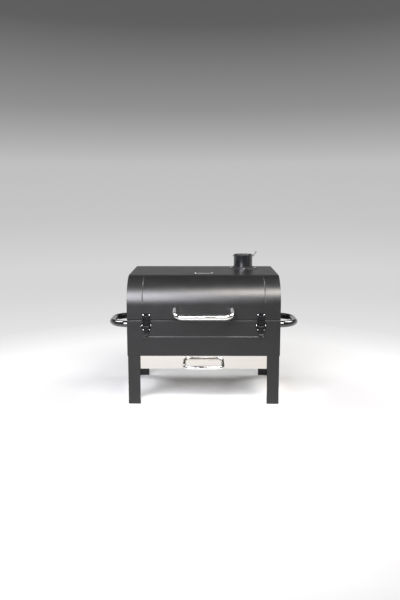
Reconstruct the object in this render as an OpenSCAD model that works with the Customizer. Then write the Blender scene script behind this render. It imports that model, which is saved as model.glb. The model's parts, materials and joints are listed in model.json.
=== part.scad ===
// Tabletop smoker grill: a sheet steel firebox on four angle legs, a half-barrel lid with a short
// chimney, an ash drawer below the firebox, carrying handles and two toggle latches.
// Frame: millimetres, +Z up, the front faces -Y, the floor is z = 0, the origin is the centre of
// the footprint of the whole grill.

/* [Body] */
// Width of the firebox and the lid
body_w = 560; // [540:1:600]
// Depth of the firebox and the lid
body_d = 395; // [380:1:420]
// Height of the firebox's floor above the ground
floor_z = 183.5; // [175:0.5:200]
// Height of the seam between the firebox and the lid
seam_z = 317; // [315:1:325]
// Gap between the firebox's rim and the lid's edge
seam_gap = 2; // [1.5:0.1:3]
// Thickness of the body's sheet steel
sheet = 1.5; // [1.2:0.1:2]
// Width of the rims turned inwards along the seam
rim_w = 12; // [8:1:16]
// Height of the pressed bead on the front panel
bead_z = 254; // [245:1:262]
// Half the length of the pressed bead
bead_half = 219; // [150:1:225]
// Diameter of the pressed bead
bead_d = 4.4; // [3:0.1:6]

/* [Lid] */
// Height of the lid
lid_h = 153.5; // [145:0.5:160]
// Radius of the lid's front curve
lid_r = 104; // [90:1:110]
// Distance of the lid's two shallow creases from the middle
crease_x = 223; // [215:1:240]
// Height on the lid at which the creases end
crease_from = 60; // [50:1:90]

/* [Legs] */
// Width of a leg angle's flange
leg_flange = 45; // [40:1:48]
// Thickness of a leg angle
leg_t = 2; // [1.5:0.1:3]
// Height of a leg angle's top, inside the firebox
leg_top = 285; // [275:1:288]

/* [Handles] */
// Diameter of the lid handle's tube
lid_tube_d = 19; // [16:0.5:22]
// Distance between the lid handle's two ends
lid_handle_span = 209; // [180:1:230]
// Distance of the lid handle's bar in front of the lid
lid_handle_reach = 61; // [55:1:66]
// Height of the lid handle's ends above the seam
lid_handle_rise = 36; // [34:1:40]
// Drop of the lid handle's bar below its ends
lid_handle_drop = 14.5; // [8:0.5:16]
// Diameter of the side handles' tube
side_tube_d = 25; // [20:1:27]
// Distance between a side handle's two ends
side_handle_span = 178; // [165:1:190]
// Distance of a side handle's bar from the firebox
side_handle_reach = 74; // [70:1:80]
// Height of the side handles
side_handle_z = 281; // [275:1:285]
// Diameter of the drawer handle's rod
drawer_rod_d = 12; // [10:0.5:13]
// Distance between the drawer handle's two ends
drawer_handle_span = 140; // [120:1:150]
// Distance of the drawer handle's bar from the drawer
drawer_handle_reach = 64; // [55:1:66]

/* [Chimney] */
// Diameter of the chimney pipe
pipe_d = 76; // [70:1:80]
// Height of the chimney above the lid
pipe_h = 56; // [50:1:70]
// Distance of the chimney from the middle, to the right
pipe_x = 160.5; // [150:0.5:170]
// Distance of the chimney behind the front panel
pipe_back = 327; // [318:1:330]

/* [Drawer] */
// Height of the drawer's front panel
drawer_h = 48; // [45:1:54]
// Depth of the drawer's tray
drawer_depth = 345; // [300:1:360]
// Thickness of the drawer's sheet
drawer_sheet = 1.2; // [1:0.1:1.5]

/* [Latches] */
// Distance of each latch from the middle
latch_x = 209; // [195:1:225]
// Height of the latch lever's pin
latch_pin_z = 294; // [292:1:296]

/* [Cooking] */
// Distance between the bars of the cooking grates
bar_pitch = 18; // [16:1:20]
// Diameter of the cooking bars
bar_d = 4; // [3.5:0.5:5]

/* [Hidden] */
$fn = 48;

satin_black = "#2a2b2d";
gloss_black = "#121214";
stainless = "#d6d0c8";
polished = "#c9cbce";
bare_steel = "#8d8f92";

// How far the hinge knuckles stand behind the rear wall
knuckle_r = 4;
hinge_back = 5;
// The walls of the body
front_reach = lid_handle_reach + lid_tube_d / 2;
total_d = front_reach + body_d + hinge_back + knuckle_r;
front_y = front_reach - total_d / 2;
rear_y = front_y + body_d;
mid_y = (front_y + rear_y) / 2;
half_w = body_w / 2;
rim_z = seam_z - seam_gap / 2;
lid_z = seam_z + seam_gap / 2;
lid_top = lid_z + lid_h;
// Room that a bolt or pin has in its hole, on the radius
fit = 0.05;
hole_room = 0.3;

// Screws: shank diameter, head diameter, head height
small_screw = [3, 5.4, 2];
screw_m4 = [4, 8, 2.4];
screw_m6 = [6, 12, 3.4];

// Leg bolts
leg_bolt_in = leg_flange / 2 + 2;
leg_bolt_zs = [212, 262];
leg_x = half_w - sheet;

// Floor opening for the ash, and the grates
ash_w = 400;
ash_d = 250;
shelf_z = 292;
shelf_w = 16;
frame_rod_d = 6;
grate_margin = 4;
bars_per_grate = floor((half_w - sheet - 2 * grate_margin) / bar_pitch);

// Drawer and its rails
rail_web_x = 231;
rail_h = 13.5;
rail_flange = 16;
rail_front = 20;
tray_half = 213;
tray_lip = 14;
lip_z = floor_z - rail_h + sheet + 0.5;
drawer_front_half = half_w - sheet - leg_flange - 1.5;
drawer_front_z = floor_z - 0.5 - drawer_h;
tray_z = drawer_front_z + sheet + 0.5;
drawer_handle_z = 156.5;
drawer_return = 12;
rail_screw_ys = [front_y + 60, mid_y, rear_y - 60];
rail_screw_x = rail_web_x - rail_flange / 2 - 1;

// Handles
lid_handle_tilt = atan(lid_handle_drop / lid_handle_reach);
lid_handle_z = lid_z + lid_handle_rise - 1;
tube_wall = 1.6;
plug_len = 18;

// Chimney
pipe_y = front_y + pipe_back;
pipe_wall = 1.2;
pipe_top = lid_top + pipe_h;
collar_d = 116;
collar_screw_r = 49.5;
damper_z = pipe_top - 6;
damper_rod_d = 4;

// Hinges
hinge_x = 170;
hinge_w = 64;
hinge_y = rear_y + hinge_back;
leaf_t = 1.8;
leaf_gap = 5;
leaf_h = 24;
hinge_pin_d = 4;
hinge_screw_x = 22;
hinge_screw_dz = 17;

// Latches: distances in front of the wall
latch_plate_t = 1.5;
latch_pin_out = 8;
latch_pin_d = 3;
bail_wire_d = 2.6;
bail_out = 6.7;
bail_z = latch_pin_z - 8;
bail_top_z = 331;
bail_half = 12.3;
ear_in = 9;
ear_out = 10.4;
cheek_in = 5.8;
cheek_out = 7.2;
base_side_screw = [16.5, 297.5];
base_low_screw = [10.75, 282];
keeper_screw = [11.5, 337];

// Badge
badge_w = 74;
badge_depth = 20;
badge_corner = 6;
badge_y = front_y + 144;
badge_t = 1.2;
rivet_x = 32;
rivet_grip = badge_t + sheet;

// ---------------------------------------------------------------- building blocks

// A box from its lowest corner to its highest corner
module block(low, high) translate(low) cube(high - low);

module rod_x(x0, x1, y, z, d) translate([x0, y, z]) rotate([0, 90, 0]) cylinder(d = d, h = x1 - x0);

module rod_y(y0, y1, x, z, d) translate([x, y1, z]) rotate([90, 0, 0]) cylinder(d = d, h = y1 - y0);

module rod_z(z0, z1, x, y, d) translate([x, y, z0]) cylinder(d = d, h = z1 - z0);

// Turns a shape so that its own +Z points out of the front, the rear or one side of the body
module on_front(x, z) translate([x, front_y, z]) rotate([90, 0, 0]) children();

module on_rear(x, z) translate([x, rear_y, z]) rotate([-90, 0, 0]) children();

module on_side(side, y, z) translate([side * half_w, y, z]) rotate([0, side * 90, 0]) children();

// Extrudes an outline drawn in (depth, height) across the body from x0 to x1
module across(x0, x1) translate([x0, 0, 0]) rotate([90, 0, 90]) linear_extrude(x1 - x0) children();

// A pan head screw with a cross recess: the head stands on z = 0, the shank goes down
module pan_screw(kind, length) {
    ball_r = (pow(kind[1] / 2, 2) + pow(kind[2], 2)) / (2 * kind[2]);
    slot = kind[1] * 0.5;
    difference() {
        union() {
            intersection() {
                cylinder(d = kind[1], h = kind[2]);
                translate([0, 0, kind[2] - ball_r]) sphere(r = ball_r);
            }
            translate([0, 0, -length]) cylinder(d = kind[0], h = length + 0.5);
        }
        for (turn = [0, 90])
            rotate([0, 0, turn])
                translate([-slot / 2, -slot / 8, kind[2] * 0.45]) cube([slot, slot / 4, kind[2]]);
    }
}

// The hole that a screw goes through, 10 mm to either side of z = 0
module screw_hole(kind) translate([0, 0, -10]) cylinder(d = kind[0] + 2 * hole_room, h = 20);

// A bar bent to a U: it leaves y = start at x = -span/2 and x = span/2 and reaches y = -reach
module bent_bar(span, reach, bend, d, start) {
    for (side = [-1, 1]) {
        rod_y(bend - reach, start, side * span / 2, 0, d);
        translate([side * (span / 2 - bend), bend - reach, 0])
            rotate([0, 0, side > 0 ? 270 : 180])
                rotate_extrude(angle = 90) translate([bend, 0]) circle(d = d);
    }
    rod_x(bend - span / 2, span / 2 - bend, -reach, 0, d);
}

// The same bar as a tube, with a solid drilled plug in each end
module bent_tube(span, reach, bend, d, start) {
    difference() {
        bent_bar(span, reach, bend, d, start);
        intersection() {
            bent_bar(span, reach, bend, d - 2 * tube_wall, start);
            block([-span, -2 * reach, -d], [span, -plug_len, d]);
        }
        for (side = [-1, 1])
            rod_y(1 - plug_len, start + 1, side * span / 2, 0, screw_m6[0] + 2 * fit);
    }
}

// ---------------------------------------------------------------- firebox

// The section of one leg angle seen from above, its corner outwards, grown inwards by room
module leg_section(side, end, room) {
    corner_y = end < 0 ? front_y + sheet : rear_y - sheet;
    flange = leg_flange + room;
    t = leg_t + room;
    translate([side * leg_x, corner_y]) at_corner(side, end) {
        square([flange, t]);
        square([t, flange]);
    }
}

// Turns an outline drawn inwards from a corner so that it fits the given corner of the body
module at_corner(side, end) mirror([side > 0 ? 1 : 0, 0]) mirror([0, end > 0 ? 1 : 0]) children();

module leg(side, end) {
    color(satin_black)
        difference() {
            linear_extrude(leg_top) leg_section(side, end, 0);
            for (z = leg_bolt_zs) on_side(side, leg_bolt_y(end), z) screw_hole(screw_m6);
        }
}

function leg_bolt_y(end) = end < 0 ? front_y + sheet + leg_bolt_in : rear_y - sheet - leg_bolt_in;

module leg_bolts() {
    color(bare_steel)
        for (side = [-1, 1], end = [-1, 1], z = leg_bolt_zs)
            on_side(side, leg_bolt_y(end), z) pan_screw(screw_m6, 12);
}

module leg_nuts() {
    color(bare_steel)
        for (side = [-1, 1], end = [-1, 1], z = leg_bolt_zs)
            on_side(side, leg_bolt_y(end), z)
                translate([0, 0, -sheet - leg_t - 5])
                    difference() {
                        cylinder(d = 11.5, h = 5, $fn = 6);
                        translate([0, 0, -1]) cylinder(d = screw_m6[0] + 2 * fit, h = 7);
                    }
}

module firebox_shell() {
    color(satin_black)
        difference() {
            union() {
                difference() {
                    block([-half_w, front_y, floor_z], [half_w, rear_y, rim_z]);
                    block([-half_w - 1, front_y + sheet, floor_z + sheet],
                          [half_w + 1, rear_y - sheet, rim_z + 1]);
                }
                block([-half_w, front_y, rim_z - sheet], [half_w, front_y + rim_w, rim_z]);
                block([-half_w, rear_y - rim_w, rim_z - sheet], [half_w, rear_y, rim_z]);
                rod_x(-bead_half, bead_half, front_y, bead_z, bead_d);
                for (side = [-1, 1]) translate([side * bead_half, front_y, bead_z]) sphere(d = bead_d);
            }
            block([-ash_w / 2, mid_y - ash_d / 2, floor_z - 1], [ash_w / 2, mid_y + ash_d / 2, floor_z + 5]);
            for (side = [-1, 1], end = [-1, 1])
                translate([0, 0, floor_z - 1])
                    linear_extrude(sheet + 2) leg_section(side, end, 0.5);
            for (side = [-1, 1]) {
                for (y = rail_screw_ys) translate([side * rail_screw_x, y, floor_z]) screw_hole(screw_m4);
                at_base_screws(side) screw_hole(small_screw);
                at_leaf_screws(side, -1) screw_hole(screw_m4);
            }
        }
}

module firebox_side(side) {
    color(satin_black)
        difference() {
            union() {
                block([side > 0 ? half_w - sheet : -half_w, front_y + sheet, floor_z + sheet],
                      [side > 0 ? half_w : sheet - half_w, rear_y - sheet, rim_z - sheet]);
                block([side > 0 ? half_w - rim_w : -half_w, front_y + rim_w, rim_z - sheet],
                      [side > 0 ? half_w : rim_w - half_w, rear_y - rim_w, rim_z]);
            }
            for (end = [-1, 1], z = leg_bolt_zs) on_side(side, leg_bolt_y(end), z) screw_hole(screw_m6);
            for (end = [-1, 1])
                on_side(side, mid_y + end * side_handle_span / 2, side_handle_z) screw_hole(screw_m6);
        }
}

// An angle along the wall: its shelf carries the grates, and its upright flange is held by the
// screws of the latch bases or the hinges
module grate_rail(end) {
    wall_y = end < 0 ? front_y + sheet : rear_y - sheet;
    low_y = end < 0 ? wall_y : wall_y - shelf_w;
    web_y = end < 0 ? wall_y : wall_y - sheet;
    x = half_w - sheet;
    color(satin_black)
        difference() {
            union() {
                block([-x, low_y, shelf_z - sheet], [x, low_y + shelf_w, shelf_z]);
                block([-x, web_y, shelf_z - sheet], [x, web_y + sheet, shelf_z + 12]);
            }
            for (side = [-1, 1])
                if (end < 0)
                    at_base_screws(side) screw_hole(small_screw);
                else
                    at_leaf_screws(side, -1) screw_hole(screw_m4);
        }
}

// ---------------------------------------------------------------- grates and fuel tray

module cooking_grate(side) {
    near = grate_margin / 2;
    far = near + bars_per_grate * bar_pitch + bar_d;
    y0 = front_y + 2 * sheet + grate_margin;
    y1 = rear_y - 2 * sheet - grate_margin;
    frame_z = shelf_z + frame_rod_d / 2;
    bar_z = frame_z + frame_rod_d / 2 + bar_d / 2 - 1;
    mirror([side > 0 ? 0 : 1, 0, 0])
        color(bare_steel) {
            for (y = [y0 + 6, mid_y, y1 - 6]) rod_x(near, far, y, frame_z, frame_rod_d);
            for (i = [0 : bars_per_grate]) rod_y(y0, y1, near + bar_d / 2 + i * bar_pitch, bar_z, bar_d);
        }
}

module fuel_grate() {
    half = ash_w / 2 + 12;
    end_y = ash_d / 2 + 12;
    frame_z = floor_z + sheet + frame_rod_d / 2;
    count = 18;
    color(bare_steel) {
        for (side = [-1, 1]) rod_x(-half, half, mid_y + side * (end_y - 4), frame_z, frame_rod_d);
        for (i = [0 : count])
            rod_y(mid_y - end_y, mid_y + end_y, -half + 5 + i * (2 * half - 10) / count,
                  frame_z + frame_rod_d - 1, frame_rod_d);
    }
}

// A pan for the fuel with rows of air slots in its floor and its long sides
module fuel_tray() {
    half = ash_w / 2 - 6;
    depth = ash_d / 2 - 6;
    z0 = floor_z + sheet + 2 * frame_rod_d - 1;
    wall_h = 38;
    slot = [38, 5];
    color(bare_steel)
        difference() {
            block([-half, mid_y - depth, z0], [half, mid_y + depth, z0 + wall_h]);
            block([drawer_sheet - half, mid_y - depth + drawer_sheet, z0 + drawer_sheet],
                  [half - drawer_sheet, mid_y + depth - drawer_sheet, z0 + wall_h + 1]);
            for (col = [-3 : 3], row = [-5 : 5])
                translate([col * 52 - slot[0] / 2, mid_y + row * 20 - slot[1] / 2, z0 - 1])
                    cube([slot[0], slot[1], 4]);
            for (col = [-3 : 3])
                translate([col * 52 - slot[0] / 2, mid_y - depth - 1, z0 + 18])
                    cube([slot[0], 2 * depth + 2, slot[1]]);
        }
}

// ---------------------------------------------------------------- carrying handles

module side_handle(side) {
    color(gloss_black)
        translate([side * half_w, mid_y, side_handle_z])
            rotate([0, 0, side * 90])
                bent_tube(side_handle_span, side_handle_reach, side_handle_reach - 9, side_tube_d, 0);
}

module side_handle_screws() {
    color(bare_steel)
        for (side = [-1, 1], end = [-1, 1])
            translate([side * (half_w - sheet), mid_y + end * side_handle_span / 2, side_handle_z])
                rotate([0, -side * 90, 0]) pan_screw(screw_m6, 14);
}

// ---------------------------------------------------------------- drawer

// A C channel under the floor that carries one lip of the drawer
module drawer_rail(side) {
    low = floor_z - rail_h;
    inner = rail_web_x - rail_flange;
    mirror([side > 0 ? 0 : 1, 0, 0])
        color(satin_black)
            difference() {
                block([inner, front_y + rail_front, low], [rail_web_x, rear_y - 6, floor_z]);
                block([inner - 1, front_y + rail_front - 1, low + sheet],
                      [rail_web_x - sheet, rear_y, floor_z - sheet]);
                for (y = rail_screw_ys) translate([rail_screw_x, y, floor_z]) screw_hole_short();
            }
}

// A hole for a rail screw through the channel's upper flange only
module screw_hole_short() translate([0, 0, -4]) cylinder(d = screw_m4[0] + 2 * hole_room, h = 8);

module drawer_rail_screws() {
    color(bare_steel)
        for (side = [-1, 1], y = rail_screw_ys)
            translate([side * rail_screw_x, y, floor_z - sheet]) rotate([180, 0, 0]) pan_screw(screw_m4, 6);
}

module drawer_tray() {
    y0 = front_y + 2 * sheet;
    y1 = y0 + drawer_depth;
    t = drawer_sheet;
    color(stainless)
        difference() {
            union() {
                difference() {
                    block([-tray_half, y0, tray_z], [tray_half, y1, lip_z + t]);
                    block([t - tray_half, y0 + t, tray_z + t], [tray_half - t, y1 - t, lip_z + t + 1]);
                }
                for (side = [-1, 1])
                    block([side > 0 ? tray_half - t : -tray_half - tray_lip, y0, lip_z],
                          [side > 0 ? tray_half + tray_lip : t - tray_half, y1, lip_z + t]);
            }
            at_drawer_screws() screw_hole(screw_m4);
        }
}

module at_drawer_screws() {
    for (side = [-1, 1]) on_front(side * drawer_handle_span / 2, drawer_handle_z) children();
}

// The panel stands between the front legs, its edges turned inwards
module drawer_front() {
    x = drawer_front_half;
    y0 = front_y + sheet;
    z0 = drawer_front_z;
    color(stainless)
        difference() {
            block([-x, y0, z0], [x, y0 + drawer_return + sheet, z0 + drawer_h]);
            block([sheet - x, y0 + sheet, z0 + sheet],
                  [x - sheet, y0 + drawer_return + 2 * sheet, z0 + drawer_h - sheet]);
            at_drawer_screws() screw_hole(screw_m4);
        }
}

module drawer_handle() {
    color(polished)
        difference() {
            translate([0, front_y + sheet, drawer_handle_z])
                bent_bar(drawer_handle_span, drawer_handle_reach + sheet, 24, drawer_rod_d, 0);
            at_drawer_screws()
                translate([0, 0, -5]) cylinder(d = screw_m4[0] + 2 * fit, h = 17);
        }
}

module drawer_handle_screws() {
    color(bare_steel)
        at_drawer_screws()
            translate([0, 0, -2 * sheet - drawer_sheet]) rotate([180, 0, 0]) pan_screw(screw_m4, 14);
}

// ---------------------------------------------------------------- lid

// The lid's outline in (depth, height), moved inwards by inset: a straight front, a quarter
// curve, a flat top and a straight rear
module lid_outline(inset) {
    straight = lid_h - lid_r;
    translate([inset, 0]) square([body_d - 2 * inset, straight]);
    translate([lid_r, 0]) square([body_d - inset - lid_r, lid_h - inset]);
    intersection() {
        translate([lid_r, straight]) circle(r = lid_r - inset, $fn = 96);
        translate([0, straight]) square(lid_r);
    }
}

// A sheet of thickness t that follows the outline, its outer face moved inwards by inset
module lid_skin(inset, t, x0, x1)
    translate([0, front_y, lid_z])
        across(x0, x1)
            difference() {
                lid_outline(inset);
                lid_outline(inset + t);
                translate([inset + t, -1]) square([body_d - 2 * (inset + t), 3]);
            }

module lid_shell() {
    color(satin_black)
        difference() {
            union() {
                lid_skin(0, sheet, -half_w, half_w);
                block([-half_w, front_y, lid_z], [half_w, front_y + rim_w, lid_z + sheet]);
                block([-half_w, rear_y - rim_w, lid_z], [half_w, rear_y, lid_z + sheet]);
            }
            for (side = [-1, 1])
                intersection() {
                    lid_skin(-1, 1.4, side * crease_x - 0.6, side * crease_x + 0.6);
                    block([-half_w, front_y - 2, lid_z + crease_from], [half_w, front_y + lid_r, lid_top + 2]);
                }
            for (side = [-1, 1]) {
                at_keeper_screws(side) screw_hole(small_screw);
                at_leaf_screws(side, 1) screw_hole(screw_m4);
                translate([side * lid_handle_span / 2, front_y, lid_handle_z])
                    rotate([90 + lid_handle_tilt, 0, 0]) screw_hole(screw_m6);
                translate([side * rivet_x, badge_y, lid_top]) screw_hole(small_screw);
            }
            translate([pipe_x, pipe_y, lid_top - 10]) cylinder(d = pipe_d + 1, h = 20, $fn = 96);
            at_collar_screws() screw_hole(screw_m4);
        }
}

module lid_end(side) {
    color(satin_black) {
        translate([0, front_y, lid_z])
            across(side > 0 ? half_w - sheet : -half_w, side > 0 ? half_w : sheet - half_w)
                intersection() {
                    lid_outline(sheet);
                    translate([0, sheet]) square([body_d, lid_h]);
                }
        block([side > 0 ? half_w - rim_w : -half_w, front_y + rim_w, lid_z],
              [side > 0 ? half_w : rim_w - half_w, rear_y - rim_w, lid_z + sheet]);
    }
}

module lid_handle() {
    color(polished)
        intersection() {
            translate([0, front_y, lid_handle_z])
                rotate([lid_handle_tilt, 0, 0])
                    bent_tube(lid_handle_span, lid_handle_reach / cos(lid_handle_tilt), 32, lid_tube_d, 10);
            block([-half_w, front_y - 200, lid_z], [half_w, front_y, lid_top]);
        }
}

module lid_handle_screws() {
    color(bare_steel)
        for (side = [-1, 1])
            translate([side * lid_handle_span / 2, front_y, lid_handle_z])
                rotate([lid_handle_tilt - 90, 0, 0])
                    translate([0, 0, 2 * sheet]) pan_screw(screw_m6, 16);
}

module badge_plate() {
    x = badge_w / 2;
    y = badge_depth / 2 - badge_corner;
    color(polished)
        difference() {
            union() {
                block([-x, badge_y - y, lid_top], [x, badge_y + y, lid_top + badge_t]);
                block([badge_corner - x, badge_y - y - badge_corner, lid_top],
                      [x - badge_corner, badge_y + y + badge_corner, lid_top + badge_t]);
                for (side = [-1, 1], end = [-1, 1])
                    translate([side * (x - badge_corner), badge_y + end * y, lid_top])
                        cylinder(r = badge_corner, h = badge_t);
            }
            for (side = [-1, 1]) translate([side * rivet_x, badge_y, lid_top]) screw_hole(small_screw);
        }
}

module badge_rivets() {
    color(polished)
        for (side = [-1, 1])
            translate([side * rivet_x, badge_y, lid_top + badge_t]) {
                intersection() {
                    cylinder(d = 6, h = 1.8);
                    translate([0, 0, -1.6]) sphere(d = 6.8);
                }
                translate([0, 0, -rivet_grip - 1.4]) cylinder(d = small_screw[0], h = rivet_grip + 1.6);
                translate([0, 0, -rivet_grip - 1.4]) cylinder(d = 5, h = 1.4);
            }
}

// ---------------------------------------------------------------- chimney and damper

module at_collar_screws() {
    for (turn = [0 : 90 : 270])
        translate([pipe_x, pipe_y, lid_top]) rotate([0, 0, turn]) translate([collar_screw_r, 0, 0]) children();
}

module chimney_collar() {
    color(satin_black)
        difference() {
            translate([pipe_x, pipe_y, lid_top]) {
                cylinder(d = collar_d, h = sheet, $fn = 96);
                cylinder(d = pipe_d + 4, h = 8, $fn = 96);
            }
            translate([pipe_x, pipe_y, lid_top - 1]) cylinder(d = pipe_d + 2 * fit, h = 12, $fn = 96);
            at_collar_screws() screw_hole(screw_m4);
        }
}

module chimney_tube() {
    color(gloss_black)
        difference() {
            translate([pipe_x, pipe_y, 0]) {
                translate([0, 0, lid_top - 6]) cylinder(d = pipe_d, h = pipe_h + 6, $fn = 96);
                translate([0, 0, pipe_top - 1])
                    rotate_extrude($fn = 96) translate([pipe_d / 2 - 0.2, 0]) circle(r = 1, $fn = 24);
            }
            translate([pipe_x, pipe_y, lid_top - 7]) cylinder(d = pipe_d - 2 * pipe_wall, h = pipe_h + 10, $fn = 96);
            rod_x(pipe_x - pipe_d, pipe_x + pipe_d, pipe_y, damper_z, damper_rod_d + 2 * fit);
        }
}

module chimney_screws() {
    color(bare_steel)
        at_collar_screws() translate([0, 0, sheet]) pan_screw(screw_m4, 8);
}

// The axle of the damper, bent up at its right end to make a lever
module damper_rod() {
    elbow_x = pipe_x + pipe_d / 2 + 3.5;
    lever_angle = 35;
    lever_len = 21.5;
    color(gloss_black)
        difference() {
            union() {
                rod_x(pipe_x - pipe_d / 2 - 4, elbow_x, pipe_y, damper_z, damper_rod_d);
                translate([elbow_x, pipe_y, damper_z]) {
                    sphere(d = damper_rod_d);
                    rotate([0, lever_angle, 0]) {
                        cylinder(d = damper_rod_d, h = lever_len);
                        translate([0, 0, lever_len]) sphere(d = damper_rod_d);
                    }
                }
            }
            at_damper_screws() translate([0, 0, -4]) cylinder(d = 2 + 2 * fit, h = 8);
        }
}

module at_damper_screws() {
    for (side = [-1, 1]) translate([pipe_x + side * 18, pipe_y, damper_z]) children();
}

module damper_plate() {
    color(satin_black)
        difference() {
            translate([pipe_x, pipe_y, damper_z + damper_rod_d / 2])
                cylinder(d = pipe_d - 2 * pipe_wall - 2, h = 1.2, $fn = 96);
            at_damper_screws() cylinder(d = 2.4, h = 8);
        }
}

module damper_screws() {
    color(bare_steel)
        at_damper_screws() translate([0, 0, damper_rod_d / 2 + 1.2]) pan_screw([2, 4.4, 1.6], 6);
}

// ---------------------------------------------------------------- hinges

module at_leaf_screws(side, up) {
    for (end = [-1, 1])
        on_rear(side * hinge_x + end * hinge_screw_x, seam_z + up * hinge_screw_dz) children();
}

// One leaf and its knuckles: up is -1 on the firebox, with two knuckles, and 1 on the lid
module hinge_leaf(side, up, knuckles) {
    low = up < 0 ? seam_z - leaf_gap - leaf_h : seam_z + leaf_gap;
    tab_low = up < 0 ? seam_z - leaf_gap - 1 : seam_z;
    color(satin_black)
        difference() {
            union() {
                translate([side * hinge_x, 0, 0]) {
                    block([-hinge_w / 2, rear_y, low], [hinge_w / 2, rear_y + leaf_t, low + leaf_h]);
                    for (span = knuckles) {
                        block([span[0], rear_y, tab_low], [span[1], rear_y + leaf_t, tab_low + leaf_gap + 1]);
                        rod_x(span[0], span[1], hinge_y, seam_z, 2 * knuckle_r);
                    }
                }
            }
            rod_x(side * hinge_x - hinge_w, side * hinge_x + hinge_w, hinge_y, seam_z, hinge_pin_d + 2 * fit);
            at_leaf_screws(side, up) screw_hole(screw_m4);
        }
}

module hinge_body_leaf(side) hinge_leaf(side, -1, [[-hinge_w / 2, -11], [11, hinge_w / 2]]);

module hinge_lid_leaf(side) hinge_leaf(side, 1, [[-10.7, 10.7]]);

module hinge_pins() {
    color(bare_steel)
        for (side = [-1, 1]) {
            x = side * hinge_x;
            rod_x(x - hinge_w / 2 - 1, x + hinge_w / 2 + 1, hinge_y, seam_z, hinge_pin_d);
            for (end = [-1, 1])
                translate([x + end * (hinge_w / 2 + 1), hinge_y, seam_z])
                    rotate([0, 90, 0]) cylinder(d = 6.4, h = 1.6, center = true);
        }
}

module leaf_screws(up) {
    color(bare_steel)
        for (side = [-1, 1]) at_leaf_screws(side, up) translate([0, 0, leaf_t]) pan_screw(screw_m4, 8);
}

// ---------------------------------------------------------------- toggle latches

module at_base_screws(side) {
    for (pos = [base_side_screw, base_low_screw], end = [-1, 1])
        on_front(side * latch_x + end * pos[0], pos[1]) children();
}

module at_keeper_screws(side) {
    for (end = [-1, 1]) on_front(side * latch_x + end * keeper_screw[0], keeper_screw[1]) children();
}

// The plate with two ears for the lever's pin
module latch_base(side) {
    x = side * latch_x;
    color(gloss_black)
        difference() {
            union() {
                on_front(x, 0)
                    linear_extrude(latch_plate_t)
                        polygon([[-13, 274], [13, 274], [16, 284], [20.5, 291], [20.5, 303],
                                 [17, 307], [14, 308], [14, 315.5], [-14, 315.5], [-14, 308],
                                 [-17, 307], [-20.5, 303], [-20.5, 291], [-16, 284]]);
                for (end = [-1, 1]) {
                    ear_x = x + (end > 0 ? ear_in : -ear_out);
                    block([ear_x, front_y - latch_pin_out, latch_pin_z - 5],
                          [ear_x + ear_out - ear_in, front_y, latch_pin_z + 5]);
                    rod_x(ear_x, ear_x + ear_out - ear_in, front_y - latch_pin_out, latch_pin_z, 10);
                }
            }
            rod_x(x - 30, x + 30, front_y - latch_pin_out, latch_pin_z, latch_pin_d + 2 * fit);
            at_base_screws(side) screw_hole(small_screw);
        }
}

module latch_base_screws() {
    color(bare_steel)
        for (side = [-1, 1]) at_base_screws(side) translate([0, 0, latch_plate_t]) pan_screw(small_screw, 7);
}

module latch_pins() {
    color(bare_steel)
        for (side = [-1, 1])
            rod_x(side * latch_x - ear_out, side * latch_x + ear_out,
                  front_y - latch_pin_out, latch_pin_z, latch_pin_d);
}

// A channel that turns on the base's pin, with a tip that curls outwards
module latch_lever(side) {
    x = side * latch_x;
    web_out = 13.4;
    low_z = 268;
    color(gloss_black)
        difference() {
            union() {
                translate([0, front_y, 0])
                    across(x - cheek_out, x + cheek_out)
                        polygon([[-web_out, latch_pin_z + 1], [1.4 - web_out, latch_pin_z + 1],
                                 [1.4 - web_out, low_z], [-2.8 - web_out, low_z - 5],
                                 [-4 - web_out, low_z - 4], [-web_out, low_z + 0.8]]);
                for (end = [-1, 1]) {
                    cheek_x = x + (end > 0 ? cheek_in : -cheek_out);
                    block([cheek_x, front_y - web_out + 1, latch_pin_z - 14],
                          [cheek_x + cheek_out - cheek_in, front_y - 3.6, latch_pin_z]);
                    block([cheek_x, front_y - web_out + 1, low_z],
                          [cheek_x + cheek_out - cheek_in, front_y - 8, latch_pin_z - 10]);
                    rod_x(cheek_x, cheek_x + cheek_out - cheek_in, front_y - latch_pin_out, latch_pin_z, 9);
                }
                rod_x(x - cheek_out, x + cheek_out, front_y - web_out - 3.4, low_z - 4.5, 2.4);
            }
            rod_x(x - 30, x + 30, front_y - latch_pin_out, latch_pin_z, latch_pin_d + 2 * fit);
            rod_x(x - 30, x + 30, front_y - bail_out, bail_z, bail_wire_d + 2 * fit);
        }
}

// A wire loop: its ends turn inwards into the lever's cheeks and its top reaches the keeper
module latch_bail(side) {
    color(gloss_black)
        translate([side * latch_x, front_y - bail_out, bail_z]) {
            rotate([-90, 0, 0]) bent_bar(2 * bail_half, bail_top_z - bail_z, 4, bail_wire_d, 0);
            for (end = [-1, 1]) {
                translate([end * bail_half, 0, 0]) sphere(d = bail_wire_d);
                rod_x(end > 0 ? cheek_in - 0.6 : -bail_half, end > 0 ? bail_half : 0.6 - cheek_in,
                      0, 0, bail_wire_d);
            }
        }
}

// The lid's half of the latch: a plate with a hook turned up in front of it
module latch_keeper(side) {
    x = side * latch_x;
    hook_half = 8;
    color(gloss_black)
        difference() {
            union() {
                on_front(x, 0)
                    linear_extrude(latch_plate_t)
                        polygon([[-9, 322], [9, 322], [15.5, 330], [15.5, 341], [12, 344],
                                 [-12, 344], [-15.5, 341], [-15.5, 330]]);
                block([x - hook_half, front_y - 4.6, 323.6], [x + hook_half, front_y, 325.2]);
                block([x - hook_half, front_y - 4.6, 323.6], [x + hook_half, front_y - 3.2, 332.5]);
            }
            at_keeper_screws(side) screw_hole(small_screw);
        }
}

module latch_keeper_screws() {
    color(bare_steel)
        for (side = [-1, 1]) at_keeper_screws(side) translate([0, 0, latch_plate_t]) pan_screw(small_screw, 7);
}

// ---------------------------------------------------------------- the parts

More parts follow.
